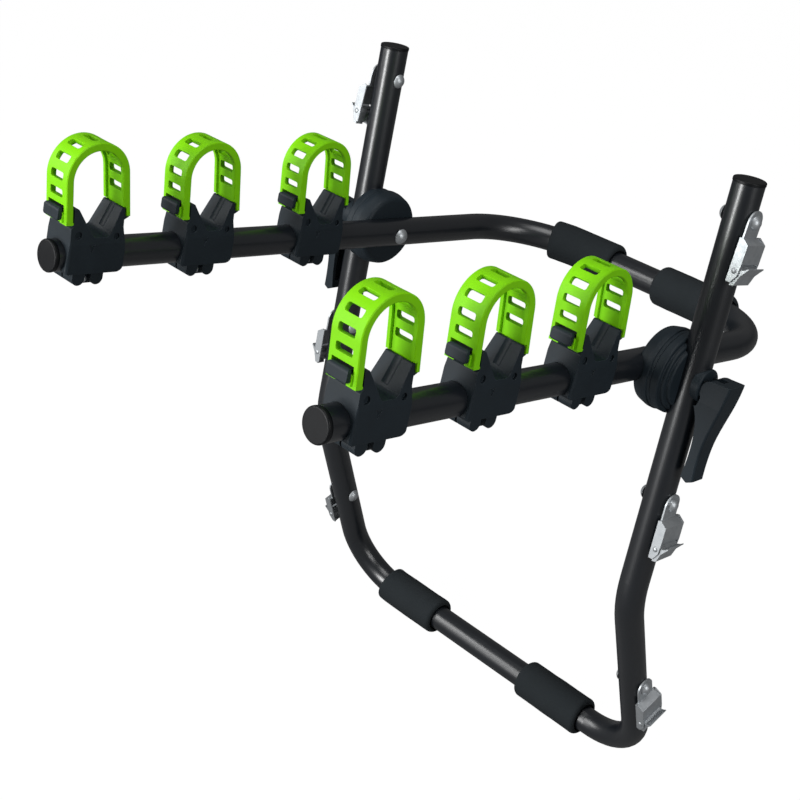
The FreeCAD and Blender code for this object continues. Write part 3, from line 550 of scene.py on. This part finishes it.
@dataclass
class Fittings:
    """Hubs, levers, cradles, straps, buckles and their screws.

    Args:
        sides: the carrier's two sides.
        stations: the cradles along each arm.
        places: the buckles along each upright.
    """

    sides: tuple[str, str] = ("left", "right")
    stations: tuple[int, ...] = (1, 2, 3)
    places: tuple[str, ...] = ("top", "middle", "low")

    def dress(self, nylon: bpy.types.Material, rubber: bpy.types.Material, zinc: bpy.types.Material) -> None:
        """Puts the finishes on all fittings.

        Args:
            nylon: for hubs, levers and cradles.
            rubber: for straps.
            zinc: for buckles, bolts and screws.
        """
        numbered = [f"{side}_{n}" for side in self.sides for n in self.stations]
        buckles = [f"{side}_{place}" for side in self.sides for place in self.places]
        hub = ["inner_hub_", "outer_hub_", "friction_disc_", "lever_seat_", "cam_lever_"]
        dress([h + side for h in hub for side in self.sides], nylon)
        dress(["cradle_" + n for n in numbered], nylon)
        dress(["strap_" + n for n in numbered], rubber)
        dress([kind + n for kind in ("buckle_frame_", "buckle_pin_", "buckle_cam_") for n in buckles], zinc)
        dress(["buckle_bolts", "buckle_nuts", "pivot_bolts", "clamp_screws", "clamp_nuts",
               "lever_barrel_left", "lever_barrel_right"], zinc)


@dataclass(frozen=True)
class Lamp:
    """A softbox.

    Args:
        title: its name.
        place: where it stands.
        aim: the point it faces.
        size: its width and height.
        watts: its power.
    """

    title: str
    place: tuple[float, float, float]
    aim: tuple[float, float, float]
    size: tuple[float, float]
    watts: float

    def build(self) -> None:
        """Makes the lamp."""
        data = bpy.data.lights.new(self.title, "AREA")
        data.shape = "RECTANGLE"
        data.size, data.size_y = self.size
        data.energy = self.watts
        lamp = bpy.data.objects.new(self.title, data)
        lamp.location = self.place
        lamp.rotation_euler = (Vector(self.aim) - Vector(self.place)).to_track_quat("-Z", "Y").to_euler()
        bpy.context.scene.collection.objects.link(lamp)
        LOG.info("lamp %s", self.title)


@dataclass
class Studio:
    """A white sweep with soft light from the front left, the front, the right and above.

    Args:
        floor_drop: height of the floor, just below the foam sleeves.
        floor_half: half its width.
        floor_colour: its colour as the object and its shadow see it.
        floor_glow: how brightly it shows in the picture.
        glow_share: how much of what shows is that glow, the rest being lit and shadowed.
        ambient: light from all around.
        lamps: the softboxes.
    """

    floor_drop: float = -0.0225
    floor_half: float = 14.0
    floor_colour: str = "7C7C7C"
    floor_glow: float = 1.1
    glow_share: float = 0.9
    ambient: float = 0.15
    lamps: tuple[Lamp, ...] = (
        Lamp("fill_softbox", (-1.9, -1.9, 1.7), (0, 0, 0.4), (0.9, 1.8), 34),
        Lamp("stripe_softbox", (-0.5, -2.4, 1.0), (0, 0, 0.6), (0.6, 1.2), 48),
        Lamp("side_softbox", (2.6, -0.3, 1.4), (0, 0, 0.35), (0.8, 1.6), 28),
        Lamp("top_softbox", (0.2, -0.2, 2.9), (0, 0, 0.3), (1.6, 1.6), 27))

    def build(self) -> None:
        """Makes the world, the lamps and the floor."""
        world = bpy.data.worlds.new("studio_white")
        world.use_nodes = True
        tree = world.node_tree
        tree.nodes.clear()
        path = add(tree, "ShaderNodeLightPath")
        seen = add(tree, "ShaderNodeMath", {"operation": "MAXIMUM"},
                   {0: path.outputs["Is Camera Ray"], 1: path.outputs["Is Transmission Ray"]})
        strength = add(tree, "ShaderNodeMapRange", {"To Min": self.ambient, "To Max": 1.0},
                       {"Value": seen.outputs[0]})
        light = add(tree, "ShaderNodeBackground", {"Color": (1, 1, 1, 1)}, {"Strength": strength.outputs[0]})
        add(tree, "ShaderNodeOutputWorld", links={"Surface": light.outputs[0]})
        bpy.context.scene.world = world
        for lamp in self.lamps:
            lamp.build()
        self.floor()

    def floor(self) -> None:
        """Makes the white floor, which shows as white and still takes a faint shadow."""
        h, z = self.floor_half, self.floor_drop
        mesh = bpy.data.meshes.new("studio_floor")
        mesh.from_pydata([(-h, -h, z), (h, -h, z), (h, h, z), (-h, h, z)], [], [(0, 1, 2, 3)])
        material = bpy.data.materials.new("white_sweep")
        material.use_nodes = True
        tree = material.node_tree
        tree.nodes.clear()
        path = add(tree, "ShaderNodeLightPath")
        matt = add(tree, "ShaderNodeBsdfDiffuse", {"Color": linear(self.floor_colour)})
        glow = add(tree, "ShaderNodeEmission", {"Color": (1, 1, 1, 1), "Strength": self.floor_glow})
        share = add(tree, "ShaderNodeMath", {"operation": "MULTIPLY", 1: self.glow_share},
                    {0: path.outputs["Is Camera Ray"]})
        mix = add(tree, "ShaderNodeMixShader",
                  links={0: share.outputs[0], 1: matt.outputs[0], 2: glow.outputs[0]})
        add(tree, "ShaderNodeOutputMaterial", links={"Surface": mix.outputs[0]})
        mesh.materials.append(material)
        piece = bpy.data.objects.new("studio_floor", mesh)
        bpy.context.scene.collection.objects.link(piece)


@dataclass(frozen=True)
class PhotoCamera:
    """The photograph's viewpoint, from a fit of its outline.

    Args:
        place: where it stands.
        looks: the direction it looks in.
        level: the direction of the picture's right edge.
        lens: focal length in millimetres, over the sensor's width.
        sensor: the sensor's width in millimetres.
        clip: nearest and farthest distance that shows.
    """

    place: tuple[float, float, float] = (0.8191, -0.9229, 1.1749)
    looks: tuple[float, float, float] = (-0.5994, 0.5728, -0.5591)
    level: tuple[float, float, float] = (0.6909, 0.7230, 0.0)
    lens: float = 66.35
    sensor: float = 36.0
    clip: tuple[float, float] = (0.01, 100.0)

    def build(self) -> None:
        """Makes the camera and sets it as the scene's."""
        data = bpy.data.cameras.new("photo_camera")
        data.lens = self.lens
        data.sensor_width = self.sensor
        data.clip_start, data.clip_end = self.clip
        camera = bpy.data.objects.new("photo_camera", data)
        back = -Vector(self.looks).normalized()
        right = Vector(self.level).normalized()
        camera.matrix_world = Matrix((right, back.cross(right), back)).transposed().to_4x4()
        camera.location = self.place
        bpy.context.scene.collection.objects.link(camera)
        bpy.context.scene.camera = camera


def main() -> None:
    """Builds the scene, one sub-assembly after another."""
    logging.basicConfig(level=logging.INFO, format="%(name)s: %(message)s")
    bpy.context.scene.view_settings.view_transform = "Standard"
    steel, nylon, caps = POWDER_COAT.build(), MOULDED_NYLON.build(), CAP_PLASTIC.build()
    rubber, foam, zinc = STRAP_RUBBER.build(), CELL_FOAM.build(), BRIGHT_ZINC.build()
    for part in (RestFrame(), ArmFrame()):
        part.dress(steel, caps)
        part.add_sleeves(foam)
    Fittings().dress(nylon, rubber, zinc)
    Studio().build()
    PhotoCamera().build()


if __name__ == "__main__":
    main()
